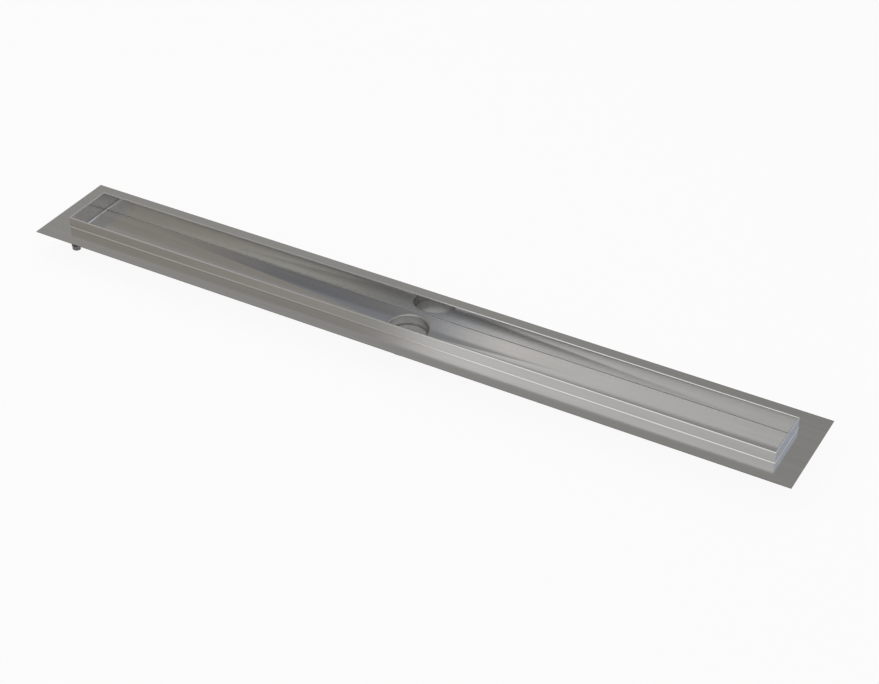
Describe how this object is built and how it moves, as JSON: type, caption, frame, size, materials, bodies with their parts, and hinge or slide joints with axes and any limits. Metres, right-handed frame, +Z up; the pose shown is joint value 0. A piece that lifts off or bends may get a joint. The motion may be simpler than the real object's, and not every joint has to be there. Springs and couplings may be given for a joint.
{
  "type": "linear shower drain channel",
  "caption": "Long stainless trough with a flat sealing flange, a raised rim and a floor folded to a central outlet spigot.",
  "frame": {"origin": "middle of the lower end of the outlet spigot, on the outlet's axis", "axes": "+X along the channel, +Y across it away from the side with the bonding stud, +Z up out of the rim"},
  "size_m": [1, 0.13, 0.05],
  "materials": {
    "channel_sheet": "stainless sheet, fine satin grain along the channel",
    "spigot_tube": "drawn stainless tube, satin, with a weld ring",
    "fastener_steel": "turned stainless, dulled, with fine tool rings"
  },
  "bodies": {
    "root": {"channel_body": "channel_sheet", "outlet_spigot": "spigot_tube", "bonding_stud": "fastener_steel", "stud_washer": "fastener_steel", "stud_nut": "fastener_steel"}
  },
  "joints": []
}
